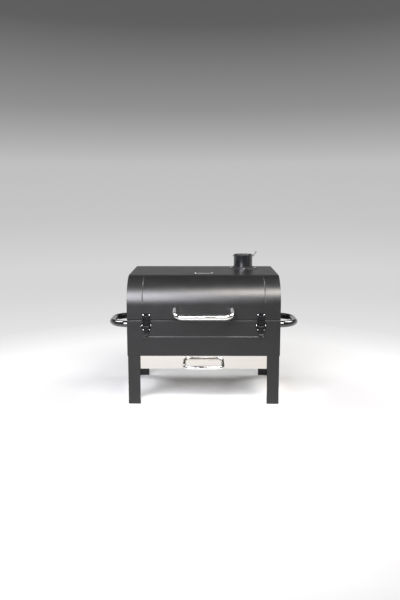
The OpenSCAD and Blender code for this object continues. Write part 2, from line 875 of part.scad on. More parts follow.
firebox_shell();
firebox_side(-1);  // firebox_side_left
firebox_side(1);  // firebox_side_right
leg(-1, -1);  // leg_front_left
leg(1, -1);  // leg_front_right
leg(-1, 1);  // leg_rear_left
leg(1, 1);  // leg_rear_right
leg_bolts();
leg_nuts();
side_handle(-1);  // side_handle_left
side_handle(1);  // side_handle_right
side_handle_screws();
grate_rail(-1);  // grate_rail_front
grate_rail(1);  // grate_rail_rear
cooking_grate(-1);  // cooking_grate_left
cooking_grate(1);  // cooking_grate_right
fuel_grate();
fuel_tray();
drawer_rail(-1);  // drawer_rail_left
drawer_rail(1);  // drawer_rail_right
drawer_rail_screws();
hinge_body_leaf(-1);  // hinge_body_leaf_left
hinge_body_leaf(1);  // hinge_body_leaf_right
leaf_screws(-1);  // hinge_body_screws
hinge_pins();
latch_base(-1);  // latch_base_left
latch_base(1);  // latch_base_right
latch_base_screws();
latch_pins();
lid_shell();
lid_end(-1);  // lid_end_left
lid_end(1);  // lid_end_right
lid_handle();
lid_handle_screws();
badge_plate();
badge_rivets();
chimney_collar();
chimney_tube();
chimney_screws();
latch_keeper(-1);  // latch_keeper_left
latch_keeper(1);  // latch_keeper_right
latch_keeper_screws();
hinge_lid_leaf(-1);  // hinge_lid_leaf_left
hinge_lid_leaf(1);  // hinge_lid_leaf_right
leaf_screws(1);  // hinge_lid_screws
damper_plate();
damper_rod();
damper_screws();
latch_lever(-1);  // latch_lever_left
latch_lever(1);  // latch_lever_right
latch_bail(-1);  // latch_bail_left
latch_bail(1);  // latch_bail_right
drawer_tray();
drawer_front();
drawer_handle();
drawer_handle_screws();
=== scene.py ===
"""Looks of the tabletop smoker grill: materials, bent sheet metal, smooth tubes, screws, a studio and a camera.

Everything is in metres, in the frame of the CAD model: the front faces -Y, +Z is up.
"""
import json
import math

import bmesh
import bpy
import numpy as np
from mathutils import Matrix, Vector


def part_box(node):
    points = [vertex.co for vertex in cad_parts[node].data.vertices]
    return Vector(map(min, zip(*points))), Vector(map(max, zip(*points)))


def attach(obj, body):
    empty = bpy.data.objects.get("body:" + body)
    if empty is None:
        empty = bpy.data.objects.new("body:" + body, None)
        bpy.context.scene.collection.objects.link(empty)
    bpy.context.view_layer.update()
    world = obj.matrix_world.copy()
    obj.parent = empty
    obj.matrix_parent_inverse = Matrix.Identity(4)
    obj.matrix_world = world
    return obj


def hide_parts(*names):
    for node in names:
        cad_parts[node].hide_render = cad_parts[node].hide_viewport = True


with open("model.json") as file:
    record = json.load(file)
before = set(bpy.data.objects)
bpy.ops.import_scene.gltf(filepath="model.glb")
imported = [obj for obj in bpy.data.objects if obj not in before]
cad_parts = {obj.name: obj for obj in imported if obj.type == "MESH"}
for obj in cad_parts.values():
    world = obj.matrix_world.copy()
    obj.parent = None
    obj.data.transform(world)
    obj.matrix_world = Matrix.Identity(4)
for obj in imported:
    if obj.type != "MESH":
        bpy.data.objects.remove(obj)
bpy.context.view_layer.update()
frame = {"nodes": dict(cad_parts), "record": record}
BODY_OF = {n: body for body, names in frame["record"]["behaviour"]["bodies"].items() for n in names}
SLOT_OF = {s["node"]: s["material_slot"] for s in frame["record"]["subparts"]}
SIDES = ("left", "right")
ENDS = ("front", "rear")
MM = 0.001

# Sheet metal: thicknesses, the width of the rims along the seam, and the outer radius of a tight bend
SHEET = 1.5 * MM
LEG_SHEET = 2 * MM
RIM = 12 * MM
BEND = 2.2 * MM
LEG_BEND = 4 * MM

# How far the fuel grate lies on the floor around the ash opening
GRATE_LAP = 12 * MM

# The walls of the body and the heights of its edges
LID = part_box("lid_shell")
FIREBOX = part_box("firebox_shell")
FRONT, REAR = LID[0].y, LID[1].y
HALF_W = LID[1].x
LID_LOW, LID_TOP = LID[0].z, LID[1].z
FLOOR, RIM_TOP = FIREBOX[0].z, FIREBOX[1].z


# ------------------------------------------------------------------ node graphs and materials

class Graph:
    """The node tree of one material, with short calls that add nodes and link them."""

    def __init__(self, name):
        self.material = bpy.data.materials.new(name)
        self.material.use_nodes = True
        self.tree = self.material.node_tree
        self.shader = self.tree.nodes["Principled BSDF"]
        self.coords = self.tree.nodes.new("ShaderNodeTexCoord").outputs["Object"]

    def add(self, kind, inputs=(), **settings):
        node = self.tree.nodes.new("ShaderNode" + kind)
        for key, value in settings.items():
            setattr(node, key, value)
        for socket, value in dict(inputs).items():
            if isinstance(value, bpy.types.NodeSocket):
                self.tree.links.new(value, node.inputs[socket])
            else:
                node.inputs[socket].default_value = value
        return node

    def set(self, **sockets):
        """Sets or links the shader's sockets; an underscore in a name stands for a space."""
        for name, value in sockets.items():
            socket = self.shader.inputs[name.replace("_", " ")]
            if isinstance(value, bpy.types.NodeSocket):
                self.tree.links.new(value, socket)
            else:
                socket.default_value = value

    def noise(self, scale, detail, stretch=(1, 1, 1)):
        """Noise with features of about 1/scale metres, drawn out along an axis by a stretch below 1."""
        place = self.add("Mapping", {"Vector": self.coords, "Scale": stretch})
        node = self.add("TexNoise", {"Vector": place.outputs[0], "Scale": scale, "Detail": detail,
                                     "Roughness": 0.5})
        return node.outputs["Fac"]

    def span(self, value, low, high, from_low=0.3, from_high=0.7):
        """Maps a value from one range to another, and keeps it inside."""
        node = self.add("MapRange", {"Value": value, "From Min": from_low, "From Max": from_high,
                                     "To Min": low, "To Max": high})
        return node.outputs[0]

    def mix(self, share, first, second):
        """Mixes two colours."""
        node = self.add("Mix", data_type="RGBA")
        for index, value in ((0, share), (6, first), (7, second)):
            if isinstance(value, bpy.types.NodeSocket):
                self.tree.links.new(value, node.inputs[index])
            else:
                node.inputs[index].default_value = value if index == 0 else (*value, 1)
        return node.outputs[2]

    def math(self, operation, first, second):
        """The result of a Math node, such as MULTIPLY or ADD."""
        node = self.add("Math", {0: first, 1: second}, operation=operation)
        return node.outputs[0]

    def edges(self, radius):
        """1 along sharp outer and inner edges within radius, 0 on flat stretches."""
        rounded = self.add("Bevel", {"Radius": radius}, samples=4)
        sharp = self.add("NewGeometry").outputs["Normal"]
        along = self.add("VectorMath", {0: rounded.outputs[0], 1: sharp}, operation="DOT_PRODUCT")
        return self.span(along.outputs["Value"], 1.0, 0.0, 0.75, 0.99)

    def ramp(self, value, *stops):
        """A grey level that follows (value, level) stops."""
        start, end = stops[0][0], stops[-1][0]
        node = self.add("ValToRGB", {"Fac": self.span(value, 0.0, 1.0, start, end)})
        points = node.color_ramp.elements
        while len(points) < len(stops):
            points.new(0.5)
        for point, (place, level) in zip(points, stops):
            point.position = (place - start) / (end - start)
            point.color = (level, level, level, 1)
        return node.outputs[0]

    def bump(self, height, strength, distance, normal=None):
        """A normal that follows the height, on top of another normal where one is given."""
        inputs = {"Height": height, "Strength": strength, "Distance": distance}
        if normal is not None:
            inputs["Normal"] = normal
        return self.add("Bump", inputs).outputs[0]


def scaled(colour, factor):
    return tuple(min(1, c * factor) for c in colour)


def coated_metal(name, colour, worn, roughness, grain, coat=0.0, specular=0.5):
    """Black paint or powder coat on steel: fine grain, slow shade changes and edges where it thins."""
    g = Graph(name)
    slow = g.noise(7, 3)
    fine = g.noise(1500, 2)
    peel = g.noise(320, 2)
    edge = g.edges(1.2 * MM)
    shade = g.mix(g.span(slow, 0, 1), scaled(colour, 0.8), colour)
    thin = g.math("MULTIPLY", edge, g.span(g.noise(90, 3), 0.15, 0.75))
    g.set(Base_Color=g.mix(thin, shade, worn))
    varied = g.math("ADD", fine, g.noise(25, 3))
    g.set(Roughness=g.span(varied, roughness - 0.03, roughness + 0.03, 0.7, 1.3))
    g.set(Normal=g.bump(peel, 0.06 * grain, 0.6 * MM, g.bump(fine, 0.12 * grain, 0.2 * MM)))
    g.set(Coat_Weight=coat, Coat_Roughness=0.06, Specular_IOR_Level=specular)
    return g.material


def brushed_metal(name, colour, roughness, stretch):
    """Rolled or brushed steel: fine lines along one axis, slight smears and brighter edges."""
    g = Graph(name)
    lines = g.noise(900, 3, stretch)
    smear = g.noise(9, 4)
    edge = g.edges(0.8 * MM)
    shade = g.mix(g.span(lines, 0, 1), scaled(colour, 0.92), colour)
    g.set(Base_Color=g.mix(g.math("MULTIPLY", edge, 0.6), shade, scaled(colour, 1.12)))
    varied = g.math("ADD", g.math("MULTIPLY", lines, 0.5), g.math("MULTIPLY", smear, 0.5))
    g.set(Metallic=1.0, Roughness=g.span(varied, roughness * 0.75, roughness * 1.3, 0.35, 0.65))
    g.set(Anisotropic=0.4)
    g.set(Normal=g.bump(lines, 0.05, 0.1 * MM))
    return g.material


def polished_metal(name, colour, roughness):
    """Polished steel tube and rod, with hairlines and faint smudges."""
    g = Graph(name)
    hair = g.noise(1400, 2, (0.06, 1, 1))
    smudge = g.noise(40, 4)
    g.set(Base_Color=g.mix(g.span(smudge, 0, 1), scaled(colour, 0.93), colour))
    g.set(Metallic=1.0, Roughness=g.span(smudge, roughness * 0.7, roughness * 1.4))
    g.set(Normal=g.bump(hair, 0.03, 0.1 * MM))
    return g.material


def plated_metal(name, colour, roughness):
    """Zinc plated screws, bolts and pins: crystalline shade changes and a lighter tone along sharp edges."""
    g = Graph(name)
    crystals = g.add("TexVoronoi", {"Vector": g.coords, "Scale": 1100}).outputs["Color"]
    spread = g.add("RGBToBW", {"Color": crystals}).outputs[0]
    edge = g.edges(0.4 * MM)
    shade = g.mix(g.span(spread, 0, 1, 0.2, 0.8), scaled(colour, 0.82), colour)
    g.set(Base_Color=g.mix(g.math("MULTIPLY", edge, 0.5), shade, (0.85, 0.86, 0.88)))
    g.set(Metallic=1.0, Roughness=g.span(spread, roughness - 0.06, roughness + 0.08, 0.2, 0.8))
    return g.material


def fire_metal(name, colour, tint, roughness, tint_scale):
    """Bare steel by the fire: straw and blue heat tint in clouds over dull, slightly pitted metal."""
    g = Graph(name)
    cloud = g.noise(tint_scale, 4)
    pits = g.noise(700, 3)
    straw = g.mix(g.span(cloud, 0, 0.7, 0.42, 0.68), colour, tint)
    edge = g.edges(0.8 * MM)
    g.set(Base_Color=g.mix(g.math("MULTIPLY", edge, 0.4), straw, (0.6, 0.6, 0.6)))
    g.set(Metallic=0.9, Roughness=g.span(pits, roughness - 0.08, roughness + 0.1))
    g.set(Normal=g.bump(pits, 0.15, 0.2 * MM))
    return g.material


MATERIALS = {
    "body_black": coated_metal("body_powder_coat", (0.005, 0.0051, 0.0053), (0.03, 0.03, 0.03), 0.36, 1.0),
    "handle_black": coated_metal("handle_gloss_enamel", (0.005, 0.005, 0.0055), (0.03, 0.03, 0.03), 0.12, 0.3,
                                 coat=1.0, specular=0.9),
    "chimney_black": coated_metal("chimney_enamel", (0.006, 0.0065, 0.008), (0.04, 0.04, 0.045), 0.18, 0.4,
                                  coat=0.4, specular=0.6),
    "latch_black": coated_metal("latch_plating", (0.004, 0.004, 0.0045), (0.05, 0.05, 0.05), 0.30, 0.6,
                                specular=0.25),
    "drawer_stainless": brushed_metal("drawer_stainless", (0.70, 0.677, 0.631), 0.10, (0.02, 1, 1)),
    "polished_steel": polished_metal("polished_stainless", (0.76, 0.755, 0.745), 0.05),
    "grate_steel": fire_metal("grate_wire", (0.42, 0.42, 0.43), (0.36, 0.29, 0.22), 0.34, 12),
    "fire_steel": fire_metal("fire_tray_steel", (0.24, 0.24, 0.25), (0.22, 0.16, 0.12), 0.45, 9),
    "zinc_steel": plated_metal("zinc_plate", (0.62, 0.63, 0.65), 0.28),
}
# Pieces that are duller than the rest of their slot
DULLER = {
    "lid_handle": polished_metal("satin_stainless", (0.76, 0.755, 0.745), 0.11),
    "badge_plate": polished_metal("dark_nickel", (0.20, 0.20, 0.205), 0.30),
    "badge_rivets": polished_metal("dull_rivets", (0.45, 0.45, 0.45), 0.40),
    "latch_pins": polished_metal("black_pins", (0.04, 0.04, 0.04), 0.35),
}


def finish_of(node):
    """The material of a node: its own, or else its slot's."""
    return DULLER.get(node) or MATERIALS[SLOT_OF[node]]


# ------------------------------------------------------------------ meshes

# Edges that turn by more than this, in degrees, count as sharp; a bent sheet's rim is sharper still
SHARP = 35
RIM_SHARP = 60

# Steps along bends, in radians: for tight bends, and for the lid's wide one
BEND_STEP = math.radians(5)
LID_STEP = math.radians(1.5)


def object_of(name, mesh):
    obj = bpy.data.objects.new(name, mesh)
    bpy.context.scene.collection.objects.link(obj)
    return obj


def solid(name, points, faces):
    """A closed mesh whose faces all look outwards."""
    mesh = bpy.data.meshes.new(name)
    mesh.from_pydata([tuple(p) for p in points], [], faces)
    form = bmesh.new()
    form.from_mesh(mesh)
    bmesh.ops.remove_doubles(form, verts=form.verts, dist=1e-7)
    bmesh.ops.recalc_face_normals(form, faces=form.faces)
    form.to_mesh(mesh)
    form.free()
    return object_of(name, mesh)


def settle(obj):
    """Turns the object's modifiers into its mesh."""
    graph = bpy.context.evaluated_depsgraph_get()
    mesh = bpy.data.meshes.new_from_object(obj.evaluated_get(graph))
    obj.modifiers.clear()
    rough = obj.data
    obj.data = mesh
    bpy.data.meshes.remove(rough)


def round_edges(obj, width, angle=SHARP):
    """Rounds every edge that is sharper than the angle in degrees."""
    change = obj.modifiers.new("round", "BEVEL")
    change.width = width
    change.segments = 2
    change.limit_method = "ANGLE"
    change.angle_limit = math.radians(angle)
    change.miter_outer = "MITER_ARC"
    settle(obj)


def cut(obj, tool, operation="DIFFERENCE"):
    """Takes the tool's solid out of the object, or keeps only what both share."""
    change = obj.modifiers.new("cut", "BOOLEAN")
    change.operation = operation
    change.solver = "EXACT"
    change.object = tool
    settle(obj)
    bpy.data.objects.remove(tool)


def smooth(obj):
    obj.data.polygons.foreach_set("use_smooth", [True] * len(obj.data.polygons))


def shade(obj):
    """Smooth shading that keeps sharp edges sharp and flat faces flat."""
    smooth(obj)
    obj.data.set_sharp_from_angle(angle=math.radians(SHARP))
    change = obj.modifiers.new("normals", "WEIGHTED_NORMAL")
    change.keep_sharp = True
    settle(obj)


def adopt(obj, node):
    """Shades the piece, gives it the body of the CAD node that it stands for and that node's material, and
    hides the node.
    """
    shade(obj)
    obj.data.materials.clear()
    obj.data.materials.append(finish_of(node))
    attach(obj, BODY_OF[node])
    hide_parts(node)


def rounded(corners, step=BEND_STEP):
    """(point, direction) pairs along a path of (point, radius) corners, each corner turned into an arc."""
    spots = [Vector(point) for point, radius in corners]
    path = [(spots[0], (spots[1] - spots[0]).normalized())]
    for before, here, after, corner in zip(spots, spots[1:], spots[2:], corners[1:-1]):
        way_in, way_out = (here - before).normalized(), (after - here).normalized()
        turn = way_in.angle(way_out)
        if turn < 1e-4:
            path.append((here, way_in))
            continue
        axis = way_in.cross(way_out).normalized()
        start = here - way_in * corner[1] * math.tan(turn / 2)
        to_centre = axis.cross(way_in) * corner[1]
        count = max(2, math.ceil(turn / step))
        for i in range(count + 1):
            spin = Matrix.Rotation(turn * i / count, 3, axis)
            path.append((start + to_centre - spin @ to_centre, spin @ way_in))
    path.append((spots[-1], (spots[-1] - spots[-2]).normalized()))
    return path


def bent_sheet(name, corners, thickness, columns, place, press=None, step=BEND_STEP):
    """A bent sheet: its outer face follows the corners (u, v, radius), anticlockwise round the object.

    Columns are the places w across the sheet, place turns (u, v, w) into a point, and press gives how far
    the sheet is pressed outwards there.
    """
    path = rounded([((u, v, 0), radius) for u, v, radius in corners], step)
    rows, cols = len(path), len(columns)
    points = []
    for depth in (0, thickness):
        for spot, way in path:
            for w in columns:
                out = (press(spot.x, spot.y, w) if press else 0) - depth
                points.append(place(spot.x + way.y * out, spot.y - way.x * out, w))

    def at(layer, row, col):
        return (layer * rows + row) * cols + col

    faces = []
    for r in range(rows - 1):
        for layer in (0, 1):
            for c in range(cols - 1):
                faces.append((at(layer, r, c), at(layer, r, c + 1),
                              at(layer, r + 1, c + 1), at(layer, r + 1, c)))
        for c in (0, cols - 1):
            faces.append((at(0, r, c), at(0, r + 1, c), at(1, r + 1, c), at(1, r, c)))
    for c in range(cols - 1):
        for r in (0, rows - 1):
            faces.append((at(0, r, c), at(0, r, c + 1), at(1, r, c + 1), at(1, r, c)))
    return solid(name, points, faces)


def prism(name, outline, low, high, place):
    """A solid between low and high along w, with an outline of (u, v) points."""
    count = len(outline)
    points = [place(u, v, w) for w in (low, high) for u, v in outline]
    faces = [tuple(range(count)), tuple(range(count, 2 * count))]
    faces += [(i, (i + 1) % count, count + (i + 1) % count, count + i) for i in range(count)]
    return solid(name, points, faces)


def across(u, v, w):
    """(depth, height, width) to a point: an outline seen from the side."""
    return (w, u, v)


def upright(u, v, w):
    """(width, depth, height) to a point: an outline seen from above."""
    return (u, v, w)


def ring_frame(way):
    """Two directions square to the way."""
    helper = Vector((0, 0, 1)) if abs(way.z) < 0.9 else Vector((1, 0, 0))
    side = way.cross(helper).normalized()
    return side, side.cross(way)


def bar(name, path, radius, sides, dome=0.0, wall=None):
    """A round bar along (point, direction) pairs.

    Dome is the height of its rounded ends, and wall an (axis, value) plane on which both ends stop flat.
    """
    side, up = ring_frame(path[0][1])
    rings = []
    before = path[0][1]
    for spot, way in path:
        turn = before.rotation_difference(way)
        side, up, before = turn @ side, turn @ up, way
        rings.append((spot, way, side.copy(), up.copy(), radius))
    if dome:
        caps = []
        for end, sign in ((rings[0], -1), (rings[-1], 1)):
            spot, way = end[0] - end[1] * sign * dome, end[1]
            turns = [math.pi / 2 * i / 5 for i in range(6)]
            caps.append([(spot + way * sign * dome * math.sin(t), way, end[2], end[3],
                          radius - dome + dome * math.cos(t)) for t in turns])
        rings = caps[0][::-1] + rings[1:-1] + caps[1]
    points = []
    for index, (spot, way, side, up, r) in enumerate(rings):
        for i in range(sides):
            turn = 2 * math.pi * i / sides
            point = spot + (side * math.cos(turn) + up * math.sin(turn)) * r
            if wall and index in (0, len(rings) - 1):
                point += way * (wall[1] - point[wall[0]]) / way[wall[0]]
            points.append(point)
    faces = [tuple(range(sides)), tuple(range(len(points) - sides, len(points)))]
    for r in range(len(rings) - 1):
        for i in range(sides):
            j = (i + 1) % sides
            faces.append((r * sides + i, r * sides + j, (r + 1) * sides + j, (r + 1) * sides + i))
    return solid(name, points, faces)


def lathe(name, profile, steps=96, centre=(0, 0, 0), axis=(0, 0, 1), closed=True):
    """A surface turned about an axis through the centre, from (radius, height) points."""
    side, up = ring_frame(Vector(axis))
    points = []
    for radius, height in profile:
        for i in range(steps):
            turn = 2 * math.pi * i / steps
            points.append(Vector(centre) + Vector(axis) * height
                          + (side * math.cos(turn) + up * math.sin(turn)) * radius)
    rows = len(profile)
    faces = []
    for r in range(rows if closed else rows - 1):
        for i in range(steps):
            j = (i + 1) % steps
            k = (r + 1) % rows
            faces.append((r * steps + i, r * steps + j, k * steps + j, k * steps + i))
    return solid(name, points, faces)


def welded(node):
    """The CAD mesh of a node as a bmesh, its split vertices joined again."""
    form = bmesh.new()
    form.from_mesh(frame["nodes"][node].data)
    bmesh.ops.remove_doubles(form, verts=form.verts, dist=2e-6)
    return form


def refined(node, width):
    """A copy of a CAD node with its flat faces joined up and its edges rounded."""
    form = welded(node)
    bmesh.ops.dissolve_limit(form, angle_limit=math.radians(1), verts=form.verts, edges=form.edges)
    mesh = bpy.data.meshes.new(node)
    form.to_mesh(mesh)
    form.free()
    obj = object_of(node + "_finished", mesh)
    if width:
        round_edges(obj, width)
    adopt(obj, node)


# ------------------------------------------------------------------ screws

# How much larger a hole's radius is than the shank's
HOLE_ROOM = 0.3 * MM

# Shank diameters, in millimetres, of the pieces that stand in holes
SHANKS = {
    "leg_bolts": 6, "side_handle_screws": 6, "lid_handle_screws": 6,
    "drawer_rail_screws": 4, "hinge_body_screws": 4, "hinge_lid_screws": 4, "chimney_screws": 4,
    "drawer_handle_screws": 4,
    "latch_base_screws": 3, "latch_keeper_screws": 3, "badge_rivets": 3,
    "damper_screws": 2,
}


def islands(node):
    """The separate solids of a node, each as an array of its points."""
    form = welded(node)
    left = set(form.verts)
    found = []
    while left:
        queue = [left.pop()]
        group = []
        while queue:
            vert = queue.pop()
            group.append(tuple(vert.co))
            for edge in vert.link_edges:
                other = edge.other_vert(vert)
                if other in left:
                    left.remove(other)
                    queue.append(other)
        found.append(np.array(group))
    form.free()
    found.sort(key=lambda points: tuple(points.mean(0).round(4)))
    return found


def screw_place(points):
    """(foot, direction to the head, length, head radius, head height) of one screw."""
    centre = points.mean(0)
    values, vectors = np.linalg.eigh(np.cov((points - centre).T))
    odd = 0 if values[1] - values[0] > values[2] - values[1] else 2
    way = vectors[:, odd]
    along = (points - centre) @ way
    off = np.linalg.norm(points - centre - np.outer(along, way), axis=1)
    widest = along[off > off.max() * 0.99]
    if widest.mean() < (along.min() + along.max()) / 2:
        way, along, widest = -way, -along, -widest
    foot = centre + way * along.min()
    head_h = float(along.max() - widest.min())
    return Vector(foot), Vector(way), float(np.ptp(along)), float(off.max()), head_h


def screw(length, head_r, head_h, shank_d):
    """A screw along +Z: a threaded shank with a chamfered end, and a pan head with a cross recess."""
    shank = shank_d / 2
    pitch = shank_d * 0.22
    root = shank - pitch * 0.45
    seat = length - head_h
    profile = [(0, 0), (root * 0.8, 0)]
    height = pitch
    while height < seat - pitch:
        profile += [(root, height - pitch * 0.3), (shank, height), (shank, height + pitch * 0.15)]
        height += pitch
    profile += [(shank, seat), (head_r * 0.97, seat), (head_r, seat + head_h * 0.1),
                (head_r, seat + head_h * 0.3)]
    for i in range(1, 7):
        turn = math.pi / 2 * i / 6
        profile.append((head_r * math.cos(turn), seat + head_h * (0.3 + 0.7 * math.sin(turn))))
    obj = lathe("screw", profile, 24, closed=False)
    recess, slot, floor = head_r * 0.55, head_r * 0.13, length - head_h * 0.5
    for half_x, half_y in ((recess, slot), (slot, recess)):
        outline = [(-half_x, -half_y), (half_x, -half_y), (half_x, half_y), (-half_x, half_y)]
        cut(obj, prism("recess", outline, floor, length + MM, upright))
    return obj


def joined(name, parts):
    """One object made of several (object, matrix) parts, which may repeat."""
    form = bmesh.new()
    for part, place in parts:
        mesh = part.data.copy()
        mesh.transform(place)
        form.from_mesh(mesh)
        bpy.data.meshes.remove(mesh)
    for part in {part for part, place in parts}:
        bpy.data.objects.remove(part)
    mesh = bpy.data.meshes.new(name)
    form.to_mesh(mesh)
    form.free()
    return object_of(name, mesh)


def turned(foot, way):
    """Puts what stands on the origin along +Z onto the foot, along the way."""
    return Matrix.Translation(foot) @ way.to_track_quat("Z", "Y").to_matrix().to_4x4()


def make_screws(node):
    places = [screw_place(points) for points in islands(node)]
    length, head_r, head_h = places[0][2:]
    model = screw(length, head_r, head_h, SHANKS[node] * MM)
    adopt(joined(node + "_finished", [(model, turned(foot, way)) for foot, way, *sizes in places]), node)


def drill(obj, *nodes):
    """Holes through the object for the pieces of other nodes."""
    reach = 8 * MM
    rods = []
    for node in nodes:
        radius = SHANKS[node] * MM / 2 + HOLE_ROOM
        for points in islands(node):
            foot, way, length = screw_place(points)[:3]
            profile = [(0, -reach), (radius, -reach), (radius, length + reach), (0, length + reach)]
            rods.append((lathe("drill", profile, 24, closed=False), turned(foot, way)))
    cut(obj, joined("drills", rods))


# ------------------------------------------------------------------ lid

# The front curve, the bend at the rear, and the softening of the sheets' cut edges
LID_R = 104 * MM
REAR_BEND = 3 * MM
SHEET_EDGE = 0.35 * MM

# The two creases: their place, half width and depth, and where they begin
CREASE_X = 223 * MM
CREASE_HALF = 1.8 * MM
CREASE_DEEP = 1.2 * MM
CREASE_FROM = LID_LOW + 60 * MM

# The chimney pipe's outer radius and the hole it stands in
PIPE_R = 38 * MM
PIPE_HOLE_R = 38.5 * MM


def fade(distance, length):
    """0 where the distance is 0 or less, rising to 1 over the length."""
    return min(1, max(0, distance / length))


def crease_depth(depth, height, width):
    """The two shallow creases of the lid's front, fading in at their lower ends and out at the flat top."""
    off = abs(abs(width) - CREASE_X)
    if off > CREASE_HALF or depth > FRONT + LID_R + 1 * MM:
        return 0
    share = fade(height - CREASE_FROM, 12 * MM) * fade(FRONT + LID_R - depth, 6 * MM)
    return -CREASE_DEEP * share * (1 - off / CREASE_HALF)


def make_lid():
    side_columns = [CREASE_X + k * CREASE_HALF / 2 for k in (-2, -1, 0, 1, 2)] + [HALF_W - 8 * MM, HALF_W]
    columns = sorted([-x for x in side_columns] + [-0.1, 0.1] + side_columns)
    shell = bent_sheet("lid_shell_finished", [
        (REAR - RIM, LID_LOW, 0), (REAR, LID_LOW, BEND), (REAR, LID_TOP, REAR_BEND),
        (FRONT, LID_TOP, LID_R), (FRONT, LID_LOW, BEND), (FRONT + RIM, LID_LOW, 0),
    ], SHEET, columns, across, crease_depth, LID_STEP)
    round_edges(shell, SHEET_EDGE, RIM_SHARP)
    low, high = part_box("chimney_tube")
    bore = [(0, -0.02), (PIPE_HOLE_R, -0.02), (PIPE_HOLE_R, 0.02), (0, 0.02)]
    cut(shell, lathe("bore", bore, 96, ((low.x + high.x) / 2, (low.y + high.y) / 2, LID_TOP), closed=False))
    drill(shell, "latch_keeper_screws", "hinge_lid_screws", "lid_handle_screws", "badge_rivets",
          "chimney_screws")
    adopt(shell, "lid_shell")


def lid_outline(inset):
    """The end panel's outline in (depth, height), with room at its foot for the lid's rims."""
    arc = rounded([((REAR - inset, LID_LOW + SHEET, 0), 0),
                   ((REAR - inset, LID_TOP - inset, 0), REAR_BEND - inset),
                   ((FRONT + inset, LID_TOP - inset, 0), LID_R - inset),
                   ((FRONT + inset, LID_LOW + SHEET, 0), 0)], LID_STEP)
    outline = [(spot.x, spot.y) for spot, way in arc]
    return outline + [(FRONT + RIM, LID_LOW + SHEET), (FRONT + RIM, LID_LOW),
                      (REAR - RIM, LID_LOW), (REAR - RIM, LID_LOW + SHEET)]


def make_lid_end(side, sign):
    """The end panel, its foot turned inwards along the seam."""
    name = "lid_end_" + side
    foot = bent_sheet("foot", [((HALF_W - RIM), LID_LOW, 0), (HALF_W, LID_LOW, BEND),
                               (HALF_W, LID_TOP + 0.01, 0)], SHEET, (FRONT - 0.01, REAR + 0.01),
                      lambda u, v, w: (sign * u, w, v))
    cut(foot, prism("outline", lid_outline(SHEET), -0.4, 0.4, across), "INTERSECT")
    foot.name = name + "_finished"
    round_edges(foot, 0.3 * MM, RIM_SHARP)
    adopt(foot, name)


LID_TUBE = 19 * MM
LID_HANDLE_BEND = 32 * MM


def make_lid_handle():
    low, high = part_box("lid_handle")
    r = LID_TUBE / 2
    arm_x, bar_y, bar_z, end_z = high.x - r, low.y + r, low.z + r, high.z - r
    path = rounded([((-arm_x, FRONT, end_z), 0), ((-arm_x, bar_y, bar_z), LID_HANDLE_BEND),
                    ((arm_x, bar_y, bar_z), LID_HANDLE_BEND), ((arm_x, FRONT, end_z), 0)])
    adopt(bar("lid_handle_finished", path, r, 40, wall=(1, FRONT)), "lid_handle")


# ------------------------------------------------------------------ firebox and legs

# The bead: half its length, its height above the ground, how far it stands out, and half its width
BEAD_HALF = 219 * MM
BEAD_Z = 254 * MM
BEAD_H = 2.2 * MM
BEAD_W = 3.2 * MM


def bead_height(depth, height, width):
    """The pressed bead along the front panel, rounded in section and at its ends."""
    if depth > FRONT + 1 * MM:
        return 0
    off = abs(height - BEAD_Z) / BEAD_W
    end = max(0, abs(width) - BEAD_HALF) / BEAD_W
    away = math.hypot(off, end)
    return BEAD_H * math.cos(min(1, away) * math.pi / 2) ** 2


def leg_plan(end, side):
    """The outer corner (x, y) of a leg angle, and the x and y where its two flanges end."""
    low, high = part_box(f"leg_{end}_{side}")
    outer_x, inner_x = (low.x, high.x) if side == "left" else (high.x, low.x)
    outer_y, inner_y = (low.y, high.y) if end == "front" else (high.y, low.y)
    return outer_x, outer_y, inner_x, inner_y


def leg_notch(end, side):
    """The L that lets a leg through the floor."""
    room = 0.5 * MM
    outer_x, outer_y, inner_x, inner_y = leg_plan(end, side)
    to_x, to_y = math.copysign(1, inner_x - outer_x), math.copysign(1, inner_y - outer_y)
    x0, x1, x2 = outer_x, outer_x + to_x * (LEG_SHEET + room), inner_x + to_x * room
    y0, y1, y2 = outer_y, outer_y + to_y * (LEG_SHEET + room), inner_y + to_y * room
    outline = [(x0, y0), (x2, y0), (x2, y1), (x1, y1), (x1, y2), (x0, y2)]
    return prism("notch", outline, FLOOR - MM, FLOOR + 2 * SHEET, upright)


def make_firebox():
    ends = [BEAD_HALF + k * BEAD_W / 5 for k in range(-1, 6)] + [HALF_W]
    columns = sorted([-x for x in ends] + [-0.1, 0.1] + ends)
    bead_rows = [(FRONT, BEAD_Z + k * BEAD_W / 8, 0.01 * MM) for k in range(8, -9, -1)]
    shell = bent_sheet("firebox_shell_finished", [
        (FRONT + RIM, RIM_TOP, 0), (FRONT, RIM_TOP, BEND), *bead_rows, (FRONT, FLOOR, BEND),
        (REAR, FLOOR, BEND), (REAR, RIM_TOP, BEND), (REAR - RIM, RIM_TOP, 0),
    ], SHEET, columns, across, bead_height)
    round_edges(shell, SHEET_EDGE, RIM_SHARP)
    low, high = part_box("fuel_grate")
    half_x, y0, y1 = high.x - GRATE_LAP, low.y + GRATE_LAP, high.y - GRATE_LAP
    outline = [(-half_x, y0), (half_x, y0), (half_x, y1), (-half_x, y1)]
    cut(shell, prism("ash_opening", outline, FLOOR - 0.01, FLOOR + 0.01, upright))
    for end in ENDS:
        for side in SIDES:
            cut(shell, leg_notch(end, side))
    drill(shell, "drawer_rail_screws", "latch_base_screws", "hinge_body_screws")
    adopt(shell, "firebox_shell")


